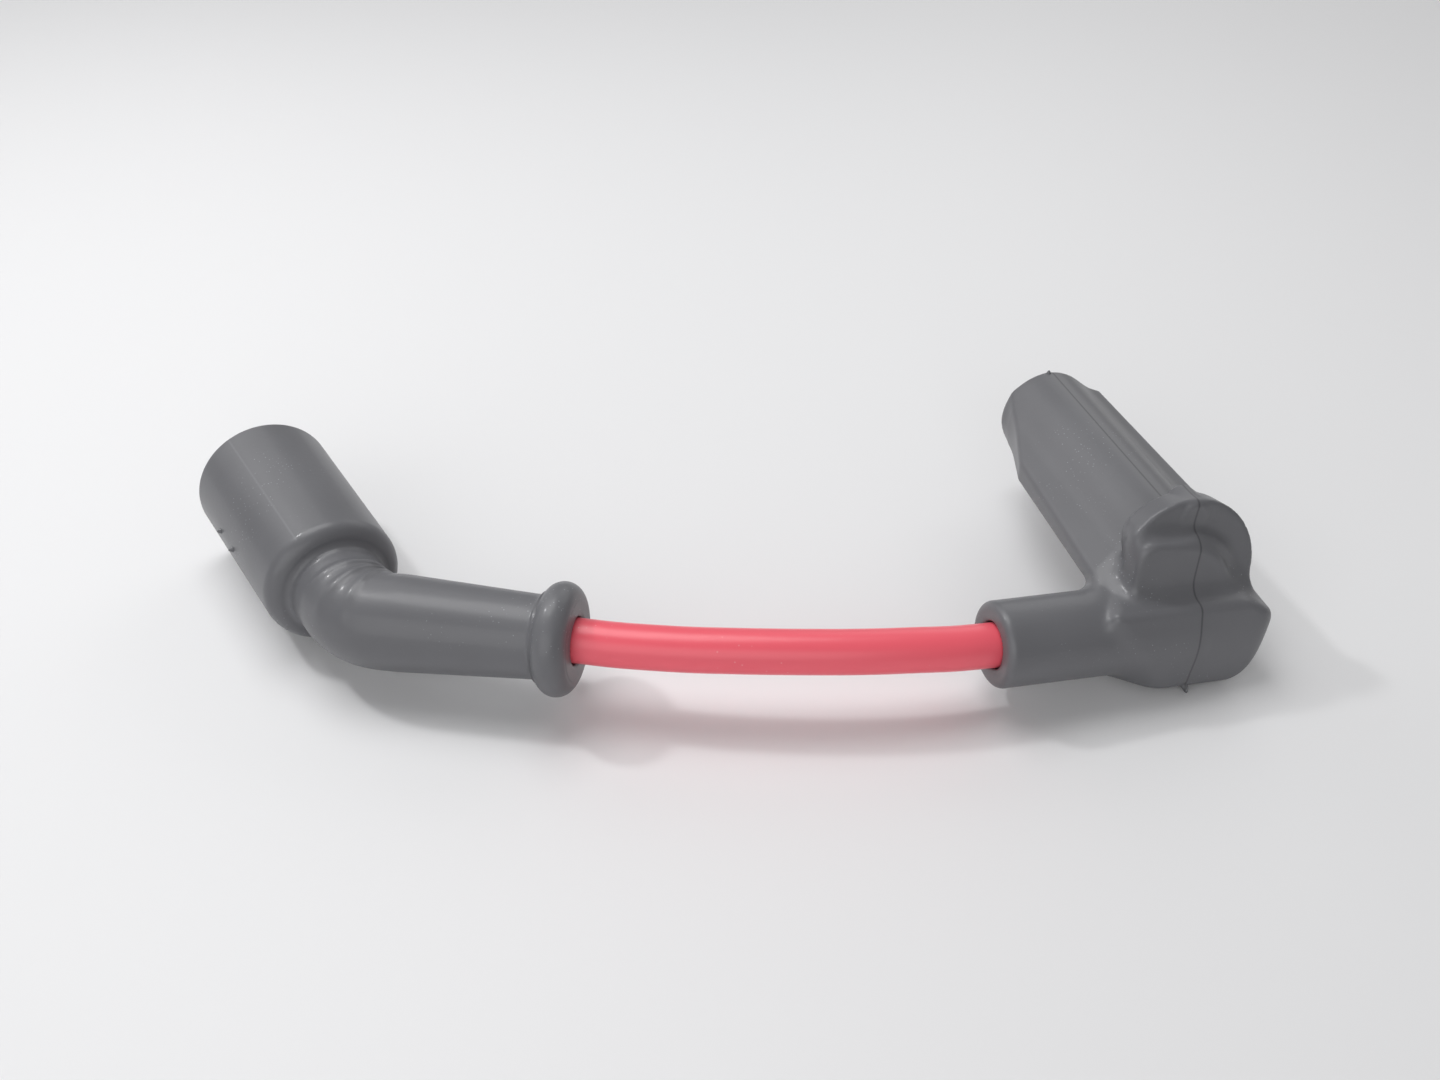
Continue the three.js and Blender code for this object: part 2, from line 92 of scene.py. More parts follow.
def smooth_line(points, per_span=8):
    """A centripetal Catmull-Rom spline. Each span blends three straight lines twice, by the Barry and
    Goldman pyramid, over knots spaced by the square root of the chord."""
    ends = np.vstack([2 * points[0] - points[1], points, 2 * points[-1] - points[-2]])
    made = []
    for p0, p1, p2, p3 in zip(ends[:-3], ends[1:-2], ends[2:-1], ends[3:]):
        steps = [math.sqrt(np.linalg.norm(b - a)) for a, b in ((p0, p1), (p1, p2), (p2, p3))]
        t0, t1, t2, t3 = np.cumsum([0.0] + steps)
        t = np.linspace(t1, t2, per_span, endpoint=False)[:, None]
        a1 = (t1 - t) / (t1 - t0) * p0 + (t - t0) / (t1 - t0) * p1
        a2 = (t2 - t) / (t2 - t1) * p1 + (t - t1) / (t2 - t1) * p2
        a3 = (t3 - t) / (t3 - t2) * p2 + (t - t2) / (t3 - t2) * p3
        b1 = (t2 - t) / (t2 - t0) * a1 + (t - t0) / (t2 - t0) * a2
        b2 = (t3 - t) / (t3 - t1) * a2 + (t - t1) / (t3 - t1) * a3
        made.append((t2 - t) / (t2 - t1) * b1 + (t - t1) / (t2 - t1) * b2)
    return np.vstack(made + [points[-1:]])


def run_on(points, reach):
    """The points with one more at each end, straight on by reach."""
    start = points[0] + reach * unit(points[0] - points[1])
    end = points[-1] + reach * unit(points[-1] - points[-2])
    return np.vstack([start, points, end])


wire_line = smooth_line(ROUTE)

# %% [markdown]
# ## From a grid to a mesh
# Most pieces are grids: one direction goes round, the other goes along. When both directions close, the
# skin has no edge at all, which is how a hollow rubber moulding is: its outside runs over the rim and
# becomes its inside.

# %% Grids and meshes
def mesh_piece(name, points, faces, node):
    """A smooth shaded object from points in millimetres and a face array, riding on the frame's one
    body."""
    mesh = bpy.data.meshes.new(name)
    points = np.asarray(points, np.float32) / 1000
    mesh.from_pydata([], [], [])
    mesh.vertices.add(len(points))
    mesh.vertices.foreach_set("co", points.ravel())
    corners = faces.shape[1]
    mesh.loops.add(faces.size)
    mesh.loops.foreach_set("vertex_index", faces.astype(np.int32).ravel())
    mesh.polygons.add(len(faces))
    mesh.polygons.foreach_set("loop_start", np.arange(0, faces.size, corners, dtype=np.int32))
    mesh.update(calc_edges=True)
    mesh.validate()
    mesh.shade_smooth()
    piece = bpy.data.objects.new(name, mesh)
    bpy.context.scene.collection.objects.link(piece)
    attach(piece, "root")
    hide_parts(node)
    print(name, len(points), "points", len(faces), "faces")
    return piece


def grid_faces(rows, columns, closed_rows):
    """Quads over a grid whose columns close round; its rows close too where closed_rows says so."""
    r = np.arange(rows if closed_rows else rows - 1)[:, None]
    c = np.arange(columns)[None, :]
    r2, c2 = (r + 1) % rows, (c + 1) % columns
    quads = np.stack([r * columns + c, r * columns + c2, r2 * columns + c2, r2 * columns + c], -1)
    return quads.reshape(-1, 4)


def across(line):
    """Two directions across a line at each of its points: level sideways, and upward square to both."""
    along = unit(np.gradient(line, axis=0))
    side = unit(np.cross([0.0, 0.0, 1.0], along))
    return side, np.cross(along, side)


def tube_points(line, outer, inner, sides):
    """A hollow tube about a line. Each row is a ring: centre plus radius times the cosine along the side
    direction and the sine along the upward one. The rings go out along the outside and come back along the
    inside."""
    side, up = across(line)
    turn = np.linspace(0, 2 * np.pi, sides, endpoint=False)
    circle = np.cos(turn)[None, :, None] * side[:, None] + np.sin(turn)[None, :, None] * up[:, None]
    outside = line[:, None] + outer * circle
    inside = line[::-1, None] + inner * circle[::-1]
    return np.concatenate([outside, inside]).reshape(-1, 3)


# %% [markdown]
# ## The wire
# The jacket is a hollow tube with its insulation and its conducting core inside, each stripped back a
# little less than the one outside it, so that the crimp can bite on the core. A piece that has no hole is a
# tube with an inner radius close to nothing.

# %% The wire
JACKET_RADIUS = 4.25
JACKET_BORE = 2.85
INSULATION_RADIUS = 2.55
INSULATION_BORE = 1.3
CORE_RADIUS = 1.0
INSULATION_STRIP = 2
CORE_STRIP = 6


def wire_layer(name, node, outer, inner, strip, sides):
    """One layer of the wire, running on past the jacket's cut ends by its strip length."""
    line = run_on(wire_line, strip) if strip else wire_line
    faces = grid_faces(2 * len(line), sides, True)
    return mesh_piece(name, tube_points(line, outer, inner, sides), faces, node)


jacket = wire_layer("jacket", "wire_jacket", JACKET_RADIUS, JACKET_BORE, 0, 64)
insulation = wire_layer(
    "insulation", "wire_insulation",
    INSULATION_RADIUS, INSULATION_BORE, INSULATION_STRIP, 40,
)
core = wire_layer("core", "conductor_core", CORE_RADIUS, 0.02, CORE_STRIP, 24)

# %% [markdown]
# ## Vent nubs
# Where the mould's vents were, a short stub of rubber stands on the skin. Each is a small dome on a stem,
# sunk a little into the boot so that it needs no join.

# %% Vent nubs
NUB_SINK = 0.5
NUB_SIDES = 14
NUB_LIFTS = np.array([0.0, 0.35, 0.6, 0.8, 0.93, 0.999])


def with_nubs(points, faces, nubs):
    """The skin's points and faces with a dome for each nub of (place, way, radius, height): rings whose
    radius shrinks with the square root of what is left of the height, which is a parabola turned about its
    way."""
    turn = np.linspace(0, 2 * np.pi, NUB_SIDES, endpoint=False)
    for place, way, radius, height in nubs:
        way = unit(way)
        side = unit(np.cross(way, [0.3, 0.9, 0.2]))
        circle = np.cos(turn)[None, :, None] * side + np.sin(turn)[None, :, None] * np.cross(way, side)
        stem = np.asarray(place) + ((NUB_SINK + height) * NUB_LIFTS - NUB_SINK)[:, None, None] * way
        dome = (stem + radius * np.sqrt(1 - NUB_LIFTS)[:, None, None] * circle).reshape(-1, 3)
        faces = np.vstack([faces, grid_faces(len(NUB_LIFTS), NUB_SIDES, False)[:, ::-1] + len(points)])
        points = np.vstack([points, dome])
    return points, faces


# %% [markdown]
# ## Where the boots sit
# Each boot is threaded on the wire, so its own axes follow from the wire's last stretch: one along the
# wire, one up, and one level and square to both.

# %% Where the boots sit
PLUG_STRIP = 15
PLUG_ROLL = math.radians(3.4)
PLUG_BEND = math.radians(134.9)
COIL_STRIP = 12
CRIMP_PAST_END = 3
CRIMP_OVER_JACKET = 10.3


def axes_along(along, roll=0.0):
    """(along, side, up): up is the world's up made square to along, then rolled about along."""
    along = unit(along)
    up = unit(np.array([0.0, 0.0, 1.0]) - along * along[2])
    side = np.cross(up, along)
    return along, np.cos(roll) * side + np.sin(roll) * up, np.cos(roll) * up - np.sin(roll) * side


plug_along, plug_side, plug_up = axes_along(ROUTE[1] - ROUTE[0], PLUG_ROLL)
plug_elbow = ROUTE[0] - PLUG_STRIP * plug_along
coil_along, coil_back, coil_up = axes_along(ROUTE[-1] - ROUTE[-2])
coil_corner = ROUTE[-1] + COIL_STRIP * coil_along
print("plug elbow", plug_elbow.round(2), "coil corner", coil_corner.round(2))

# %% [markdown]
# ## The plug boot
# The moulding is one closed skin: a profile of reach and radius is carried along a bent line, out over the
# outside and back down the bores. Reach is counted from the elbow, toward the mouth of the head when
# positive and toward the wire when negative. Near the elbow the line turns on an arc. The rubber creases a
# little there, which is a few shallow rings that fade toward the outer side of the bend.

# %% The plug boot
BEND_REACH = 5.5
MOUTH_REACH = 53.4
SHOULDER_REACH = 11.3
NECK_RADIUS = 9.3
HEAD_NEAR_RADIUS = 13.6
HEAD_MOUTH_RADIUS = 14.08
SHOULDER_ROUND = 3.2
FLANGE_REACH = 40.1
FLANGE_HALF = 3.3
FLANGE_RADIUS = 10.8
FLANGE_EDGE = 0.6
MOUTH_EDGE = 0.7
BORE_EDGE = 0.5
TUBE_RADIUS = 7.85
HEX_RADIUS = 9.2
HEX_DEPTH = 15.5
PORCELAIN_RADIUS = 5.6
PORCELAIN_DEPTH = 14
CHAMBER_RADIUS = 6.5
WEB_CHAMBER_RADIUS = 6.07
CRIMP_RADIUS = 5.35
WIRE_BORE = 4.55
VENT_REACHES = (39.0, 31.8)
VENT_TURN = math.radians(11)
VENT_RADIUS = 0.8
VENT_HEIGHT = 1.1
WRINKLE_MIDDLE = 2
WRINKLE_REACH = 5.2
WRINKLE_SPACING = 3.9
WRINKLE_HEIGHT = 0.65
NECK_BELOW, NECK_ABOVE = 0.6, 0.35
WRINKLE_EVEN, WRINKLE_INNER, WRINKLE_TOP = 0.15, 0.4, 0.75
PLUG_SPACING = 0.55
PLUG_SIDES = 128


def arc(reach, radius, rounding, start, end, count=10):
    """A rounding in the profile: points on a circle about (reach, radius), the angle counted from outward,
    in degrees, toward larger reach."""
    turn = np.radians(np.linspace(start, end, count))
    return np.stack([reach + rounding * np.sin(turn), radius + rounding * np.cos(turn)], 1)


def fill(corners, spacing):
    """The corners with points added so that none lie further apart than the spacing."""
    made = []
    for a, b in zip(corners[:-1], corners[1:]):
        count = max(1, math.ceil(np.linalg.norm(b - a) / spacing))
        made.append(a + (b - a) * (np.arange(count) / count)[:, None])
    return np.vstack(made + [corners[-1:]])


def plug_profile():
    """(reach, radius) pairs of the closed profile, from the flange's end face over the outside and back
    inside."""
    flange_end = -FLANGE_REACH - FLANGE_HALF
    mouth = MOUTH_REACH
    hex_end = mouth - HEX_DEPTH
    porcelain_end = hex_end - PORCELAIN_DEPTH
    crimp_start, crimp_end = -(PLUG_STRIP - CRIMP_PAST_END), -(PLUG_STRIP + CRIMP_OVER_JACKET)
    parts = [
        [(flange_end, WIRE_BORE + 0.4)],
        arc(flange_end + FLANGE_EDGE, FLANGE_RADIUS - FLANGE_HALF, FLANGE_EDGE, -90, -60, 3),
        arc(-FLANGE_REACH, FLANGE_RADIUS - FLANGE_HALF, FLANGE_HALF, -80, 76, 22),
        arc(-FLANGE_REACH + FLANGE_HALF + 1.1, TUBE_RADIUS + 1.0, 0.9, -100, -180, 7),
        [(-9.0, NECK_RADIUS), (-4.0, NECK_RADIUS), (4.0, NECK_RADIUS)],
        [(SHOULDER_REACH - 1.6, NECK_RADIUS), (SHOULDER_REACH - 0.5, NECK_RADIUS + 0.3)],
        arc(SHOULDER_REACH + SHOULDER_ROUND, HEAD_NEAR_RADIUS - SHOULDER_ROUND, SHOULDER_ROUND, -88, 0, 16),
        arc(mouth - MOUTH_EDGE, HEAD_MOUTH_RADIUS - MOUTH_EDGE, MOUTH_EDGE, 0, 90, 6),
        arc(mouth - BORE_EDGE, HEX_RADIUS + BORE_EDGE, BORE_EDGE, 90, 180, 5),
        [(hex_end + 0.4, HEX_RADIUS), (hex_end - 0.2, HEX_RADIUS - 0.4)],
        [(hex_end - 3.4, PORCELAIN_RADIUS + 0.2), (hex_end - 3.9, PORCELAIN_RADIUS)],
        [(porcelain_end + 1.0, PORCELAIN_RADIUS), (porcelain_end + 0.1, CHAMBER_RADIUS)],
        [(5.0, CHAMBER_RADIUS), (-3.0, WEB_CHAMBER_RADIUS + 0.2), (crimp_start, WEB_CHAMBER_RADIUS)],
        [(crimp_start - 0.8, CRIMP_RADIUS), (crimp_end, CRIMP_RADIUS), (crimp_end - 0.8, WIRE_BORE)],
        [(flange_end + 0.4, WIRE_BORE), (flange_end, WIRE_BORE + 0.4)],
    ]
    return np.vstack([np.asarray(p, float) for p in parts])


def bent_line(reach):
    """(place, outward side) at each reach. Beyond the bend the line is straight along the head or the wire
    tube; within it, it is the arc that touches both, and the side direction turns with it."""
    head = math.cos(PLUG_BEND) * plug_along + math.sin(PLUG_BEND) * plug_side
    turned = math.pi - PLUG_BEND
    radius = BEND_REACH / math.tan(turned / 2)
    share = np.clip((reach + BEND_REACH) / (2 * BEND_REACH), 0, 1)
    angle = (share * turned)[:, None]
    start = plug_elbow + BEND_REACH * plug_along
    centre = start + radius * plug_side
    place = centre + radius * (-np.cos(angle) * plug_side - np.sin(angle) * plug_along)
    way = -np.cos(angle) * plug_along + np.sin(angle) * plug_side
    beyond = (reach - np.clip(reach, -BEND_REACH, BEND_REACH))[:, None]
    place = place + np.where(beyond > 0, beyond * head, -beyond * plug_along)
    return place, np.cross(plug_up, way)


def wrinkles(reach, radius, turn):
    """How far the creases lift the neck: a row of rings one spacing apart, only on the outside of the
    moulding, full at the top and toward the inner side of the bend and fading to the outer side."""
    on_neck = (radius > NECK_RADIUS - NECK_BELOW) * (radius < NECK_RADIUS + NECK_ABOVE)
    near = np.exp(-((reach - WRINKLE_MIDDLE) / WRINKLE_REACH) ** 4) * on_neck
    ring = 0.5 + 0.5 * np.cos(2 * np.pi * (reach - WRINKLE_MIDDLE) / WRINKLE_SPACING)
    weight = np.clip(WRINKLE_EVEN - WRINKLE_INNER * np.cos(turn) + WRINKLE_TOP * np.sin(turn), 0, 1)
    return WRINKLE_HEIGHT * (near * ring ** 2)[:, None] * weight[None, :]


def plug_boot_points(sides):
    """The closed grid of the plug boot: each profile point makes a ring across the bent line."""
    profile = fill(plug_profile(), PLUG_SPACING)[:-1]
    reach, radius = profile.T
    place, side = bent_line(reach)
    turn = np.linspace(0, 2 * np.pi, sides, endpoint=False)
    circle = np.cos(turn)[None, :, None] * side[:, None] + np.sin(turn)[None, :, None] * plug_up[None, None]
    lifted = radius[:, None] + wrinkles(reach, radius, turn)
    return (place[:, None] + lifted[..., None] * circle).reshape(-1, 3), len(profile)


plug_points, plug_rows = plug_boot_points(PLUG_SIDES)
head_along = math.cos(PLUG_BEND) * plug_along + math.sin(PLUG_BEND) * plug_side
head_right = np.cross(head_along, plug_up)
vent_way = plug_up * math.sin(VENT_TURN) - head_right * math.cos(VENT_TURN)
vents = [
    (plug_elbow + reach * head_along + HEAD_NEAR_RADIUS * vent_way, vent_way, VENT_RADIUS, VENT_HEIGHT)
    for reach in VENT_REACHES
]
plug_points, plug_faces = with_nubs(plug_points, grid_faces(plug_rows, PLUG_SIDES, True)[:, ::-1], vents)
plug_boot = mesh_piece("plug_boot_skin", plug_points, plug_faces, "plug_boot")

# %% [markdown]
# ## The coil boot
# This moulding branches, so no single grid wraps it. It is made as a field instead: a number for every
# place that is negative inside the rubber, built from simple solids whose joins are rounded like the
# corners of a mould. The skin is where the field is zero. A surface net finds it: each small cell that the
# zero passes through gets one point, and cells that share a crossed edge share a quad. Then each point
# slides down the field's slope onto the exact zero.

# %% The solids of the field
TUBE_LENGTH = 38.5
TUBE_TAPER = 0.004
TUBE_IN_BLOCK = 2.0
TUBE_EDGE = 1.4
COIL_TUBE_RADIUS = 8.25
TOWER_REACH = 63.6
TOWER_RADIUS = 9.9
TOWER_RISE = 9.45
TOWER_EDGE = 0.8
TOWER_BORE = 7.4
TOWER_BORE_END = 29.6
WING_ROLL = math.radians(7)
WING_START_SLOPE = 1.1
WING_ROOT = (9.2, 4.7)
WING_TIP = (19.0, 0.75)
WING_EDGE = 1.1
WING_START_ROUND = 2.4
WING_END_ROUND = 1.0
WING_END_INSET = 0.4
WING_PLAN_SCALE = 0.93
WING_SPAN_LEFT = [(1.5, 16.8), (43, 14.8), (59, 9.2), (63, 7.0)]
WING_SPAN_RIGHT = [(1.5, 11.2), (5.5, 15.2), (62.2, 13.5), (63.4, 9.2)]
COLLAR_RADIUS = 14.4
COLLAR_MIDDLE = (-0.5, 2.6)
COLLAR_CUT = ((-0.970, -0.2425), 9.62)
COLLAR_DROP = 12
COLLAR_FRONT = 0.1
COLLAR_THICKNESS = 5.6
COLLAR_CUT_ROUND = 2.5
COLLAR_FOOT_ROUND = 2.0
COLLAR_EDGE = 0.75
COLLAR_DISH = 0.5
COLLAR_RIM = 1.2
DISH_EDGE = 0.6
COLLAR_LEAN = math.radians(16)
NUB_RADIUS = 2.8
NUB_TOP = 25.4
NUB_FRONT = 4
NUB_BACK = 10.8
NUB_EDGE = 0.8
NECK_SIDES = [
    ((-1, 0.01), 12.4), ((1, 0), 9.8), ((0.786, 0.619), 7.7), ((0.095, 0.995), 9.58), ((0, -1), 12.0),
]
NECK_FRONT = -1.5
NECK_THICKNESS = 5
NECK_ROUND = 4.5
NECK_EDGE = 1.0
NECK_LEAN = math.radians(8)
BLOCK_FACES = [
    ((0, -1, 0), 9.0), ((0, 1, 0), 9.0), ((0, 0, 1), 8.9), ((0, 0, -1), 9.7), ((-1, 0, 0), 19.0),
    ((1, 0, 0), 17.3), ((0, -0.954, 0.3), 8.6), ((0, -0.707, -0.707), 12.6), ((0.539, 0, 0.842), 13.5),
    ((0.71, 0, -0.704), 13.9), ((0.677, -0.736, 0), 15.75), ((0.677, 0.736, 0), 15.75),
    ((-0.572, -0.753, -0.325), 12.8), ((-0.572, 0.753, -0.325), 12.8), ((-0.8, 0.6, 0), 11.5),
]
BLOCK_ROUND = 1.6
GRIP_START = COLLAR_FRONT + 1.4
TUBE_FILLET = 2.0
NECK_FILLET = 3.0
WING_FILLET = 2.2
COLLAR_FILLET = 1.8
NUB_FILLET = 0.8
GRIP_FILLET = 3.2
HOLLOW_FILLET = 0.6
HOLLOW_EDGE = 0.1
SOCKET_EDGE = 0.2
PAST_MOUTH = 4
BORE_OVERLAP = 2
CHAMBER_START = 5.4
COIL_BORE_END = -20
COIL_CRIMP_END = -6
TURN_END = 3
PASSAGE_RADIUS = 3.0
PASSAGE_RISE = 4.8
PASSAGE_END = 7


def soft_min(a, b, rounding):
    """The smaller of two fields, with the crease between them filled over the rounding (a quadratic
    blend)."""
    share = np.clip(1 - np.abs(a - b) / rounding, 0, None)
    return np.minimum(a, b) - share ** 2 * rounding / 4


def soft_max(a, b, rounding):
    """The larger of two fields, with the edge between them rounded."""
    return -soft_min(-a, -b, rounding)


def rounded(flat, along, start, end, edge):
    """A flat outline's distance carried from start to end along an axis, with its edges rounded by edge."""
    ends = np.abs(along - (start + end) / 2) - (end - start) / 2 + edge
    sides = flat + edge
    outside = np.hypot(np.maximum(sides, 0), np.maximum(ends, 0))
    return outside + np.minimum(np.maximum(sides, ends), 0) - edge


def cut_by(planes, rounding, *place):
    """What lies behind every plane of (direction, distance): the largest of their distances, edges
    rounded."""
    (way, far), *others = planes
    field = sum(w * p for w, p in zip(way, place)) - far
    for way, far in others:
        field = soft_max(field, sum(w * p for w, p in zip(way, place)) - far, rounding)
    return field


def leaned(y, z, front, lean):
    """(depth, height) in a plate that leans back about the tower's axis, which it meets at the front
    distance."""
    y, z = y - front, z - TOWER_RISE
    return y * math.cos(lean) - z * math.sin(lean), y * math.sin(lean) + z * math.cos(lean)


def collar(x, y, z):
    """The collar: a leaning round plate with straight sides below its middle, cut off on the wire's side.
    Its front is dished: deepest over its middle, and falling off with the eighth power of the distance
    toward the rim."""
    depth, height = leaned(y, z, COLLAR_FRONT, COLLAR_LEAN)
    from_middle = np.hypot(x - COLLAR_MIDDLE[0], height - COLLAR_MIDDLE[1])
    disc = np.where(height > COLLAR_MIDDLE[1], from_middle, np.abs(x - COLLAR_MIDDLE[0])) - COLLAR_RADIUS
    shape = soft_max(disc, cut_by([COLLAR_CUT], 0, x, height), COLLAR_CUT_ROUND)
    shape = soft_max(shape, -height - COLLAR_DROP, COLLAR_FOOT_ROUND)
    plate = rounded(shape, depth, 0, COLLAR_THICKNESS, COLLAR_EDGE)
    dish = COLLAR_DISH * np.clip(1 - (from_middle / (COLLAR_RADIUS - COLLAR_RIM)) ** 8, 0, None)
    return soft_max(plate, dish - depth, DISH_EDGE)


def neck(x, y, z):
    """The neck in front of the collar: a lower leaning plate, full on the wire's side and sloping on the
    other."""
    depth, height = leaned(y, z, NECK_FRONT, NECK_LEAN)
    return rounded(cut_by(NECK_SIDES, NECK_ROUND, x, height), depth, 0, NECK_THICKNESS, NECK_EDGE)


def span(y, steps):
    """The wing's half width at each y, straight between its steps."""
    steps = np.array(steps)
    return np.interp(y, steps[:, 0], steps[:, 1])


def wings(x, y, z):
    """Grip wings, rolled a little about the tower: thick at the root and thin at the tip, cut to their
    plan, and starting with a slope."""
    z = z - TOWER_RISE
    roll_cos, roll_sin = math.cos(WING_ROLL), math.sin(WING_ROLL)
    across, lift = x * roll_cos + z * roll_sin, z * roll_cos - x * roll_sin
    slope = (WING_ROOT[1] - WING_TIP[1]) / (WING_TIP[0] - WING_ROOT[0])
    skin = (np.abs(lift) - WING_ROOT[1] + slope * (np.abs(across) - WING_ROOT[0])) / math.hypot(1, slope)
    reach = np.where(across < 0, span(y, WING_SPAN_LEFT), span(y, WING_SPAN_RIGHT))
    plan = (np.abs(across) - reach) * WING_PLAN_SCALE
    start = (GRIP_START - y + WING_START_SLOPE * np.maximum(lift, 0)) / math.hypot(1, WING_START_SLOPE)
    plate = soft_max(soft_max(skin, plan, WING_EDGE), start, WING_START_ROUND)
    return soft_max(plate, y - TOWER_REACH + WING_END_INSET, WING_END_ROUND)


def coil_field(x, y, z):
    """The coil boot's field in its own axes: x along the wire, y back to the mouth, z up."""
    around_wire = np.hypot(y, z)
    around_tower = np.hypot(x, z - TOWER_RISE)
    tube_skin = around_wire - COIL_TUBE_RADIUS - TUBE_TAPER * (x + TUBE_LENGTH)
    tube = rounded(tube_skin, x, -TUBE_LENGTH, TUBE_IN_BLOCK, TUBE_EDGE)
    tower = rounded(around_tower - TOWER_RADIUS, y, GRIP_START, TOWER_REACH, TOWER_EDGE)
    nub = rounded(np.hypot(x, z - NUB_TOP + NUB_RADIUS) - NUB_RADIUS, y, NUB_FRONT, NUB_BACK, NUB_EDGE)
    outside = soft_min(tube, cut_by(BLOCK_FACES, BLOCK_ROUND, x, y, z), TUBE_FILLET)
    outside = soft_min(outside, neck(x, y, z), NECK_FILLET)
    winged = soft_min(tower, wings(x, y, z), WING_FILLET)
    grip = soft_min(winged, soft_min(collar(x, y, z), nub, NUB_FILLET), COLLAR_FILLET)
    outside = soft_min(outside, grip, GRIP_FILLET)
    socket = rounded(around_tower - TOWER_BORE, y, TOWER_BORE_END, TOWER_REACH + PAST_MOUTH, SOCKET_EDGE)
    chamber = around_tower - CHAMBER_RADIUS
    chamber = rounded(chamber, y, CHAMBER_START, TOWER_BORE_END + BORE_OVERLAP, SOCKET_EDGE)
    bore = rounded(around_wire - WIRE_BORE, x, -TUBE_LENGTH - PAST_MOUTH, COIL_BORE_END, HOLLOW_EDGE)
    crimp_start = -COIL_STRIP - CRIMP_OVER_JACKET
    crimp = rounded(around_wire - CRIMP_RADIUS, x, crimp_start, COIL_CRIMP_END, HOLLOW_EDGE)
    turn = rounded(around_wire - WEB_CHAMBER_RADIUS, x, CRIMP_PAST_END - COIL_STRIP, TURN_END, HOLLOW_EDGE)
    passage = rounded(np.hypot(x, z - PASSAGE_RISE) - PASSAGE_RADIUS, y, 0, PASSAGE_END, HOLLOW_EDGE)
    hollow = np.minimum.reduce([socket, chamber, bore, crimp, turn, passage])
    return soft_max(outside, -hollow, HOLLOW_FILLET)


# %% [markdown]
# ## The surface net
# The field is sampled on a grid. A cell's point is the mean of the places where the field changes sign on
# its edges, each found by straight interpolation, so the skin is smooth even where the grid is coarse.

# %% The surface net
NET_STEP = 0.5
NET_LOW = np.array([-40.0, -10.5, -11.0])
NET_HIGH = np.array([19.5, 64.5, 28.0])
SETTLE_STEP = 0.3
LEAST_SLOPE_SQUARED = 0.2


def surface_net(field, low, step):
    """(points, quads) of the zero of a sampled field: one point a cell, one quad a crossed grid edge."""
    inside = field < 0
    cells = tuple(n - 1 for n in field.shape)
    total = np.zeros(cells + (3,))
    count = np.zeros(cells)
    base = np.stack(np.meshgrid(*[np.arange(n, dtype=float) for n in cells], indexing="ij"), -1)
    crossings = []
    for axis in range(3):
        a = [slice(None)] * 3
        b = [slice(None)] * 3
        a[axis], b[axis] = slice(0, -1), slice(1, None)
        fa, fb = field[tuple(a)], field[tuple(b)]
        crossed = inside[tuple(a)] != inside[tuple(b)]
        share = np.where(crossed, fa / np.where(crossed, fa - fb, 1), 0)
        others = [k for k in range(3) if k != axis]
        for i in (0, 1):
            for j in (0, 1):
                cut = [slice(None)] * 3
                cut[others[0]] = slice(i, i + cells[others[0]])
                cut[others[1]] = slice(j, j + cells[others[1]])
                hit = crossed[tuple(cut)]
                shift = np.zeros(3)
                shift[others[0]], shift[others[1]] = i, j
                total += np.where(hit[..., None], base + shift, 0)
                total[..., axis] += share[tuple(cut)]
                count += hit
        crossings.append((axis, others, crossed, inside[tuple(a)]))
    used = count > 0
    index = np.full(cells, -1)
    index[used] = np.arange(used.sum())
    points = low + step * (total[used] / count[used][:, None])
    quads = []
    for axis, (p, q), crossed, starts_inside in crossings:
        where = np.argwhere(crossed)
        flips = starts_inside[crossed]
        ring = []
        for i, j in ((-1, -1), (0, -1), (0, 0), (-1, 0)):
            cell = where.copy()
            cell[:, p] += i
            cell[:, q] += j
            ring.append(index[tuple(cell.T)])
        ring = np.stack(ring, 1)
        turn_back = flips if axis != 1 else ~flips
        ring[~turn_back] = ring[~turn_back][:, ::-1]
        quads.append(ring)
    return points, np.vstack(quads)


def settle(points, field, rounds=3, reach=0.01):
    """Slides points onto the field's zero: each round moves a point against the slope by field over
    slope."""
    for _ in range(rounds):
        value = field(*points.T)
        slope = np.stack([
            (field(*(points + reach * axis).T) - field(*(points - reach * axis).T)) / (2 * reach)
            for axis in np.eye(3)
        ], 1)
        squared = (slope ** 2).sum(1)
        step = np.clip(value / np.maximum(squared, LEAST_SLOPE_SQUARED), -SETTLE_STEP, SETTLE_STEP)
        points = points - step[:, None] * slope
    return points


net_axes = [np.arange(a, b, NET_STEP) for a, b in zip(NET_LOW, NET_HIGH)]
sampled = coil_field(*np.meshgrid(*net_axes, indexing="ij"))
coil_points, coil_quads = surface_net(sampled, NET_LOW, NET_STEP)
coil_points = settle(coil_points, coil_field)
coil_axes = np.stack([coil_along, coil_back, coil_up])
coil_vents = [
    ((-1.0, 62.8, TOWER_RISE + TOWER_RADIUS - 0.1), (0, 0.1, 1), 0.7, 0.8),
    ((0.3, -8.7, -8.9), (0.1, -0.75, -0.65), 0.8, 1.2),
]
coil_points, coil_quads = with_nubs(coil_points, coil_quads, coil_vents)
coil_boot = mesh_piece(
    "coil_boot_skin", coil_corner + coil_points @ coil_axes, coil_quads, "coil_boot"
)

# %% [markdown]
# ## Finishes
# The rubber is matt under a thin gloss, specked with dust and marked by the seam of its mould. The silicone
# of the wire is smoother and shinier. The dust and the seams are node groups that give a mask, so that any
# finish can use them.

# %% Shader helpers
SPECK_CLOUD_SCALE = 60
SPECK_RIM, SPECK_HEART = 0.16, 0.08
SPECK_NONE, SPECK_ALL = 0.52, 0.62


def with_inputs(node, **values):
    """The node with its inputs set by name (a low line stands for a space)."""
    for label, value in values.items():
        node.inputs[label.replace("_", " ")].default_value = value
    return node


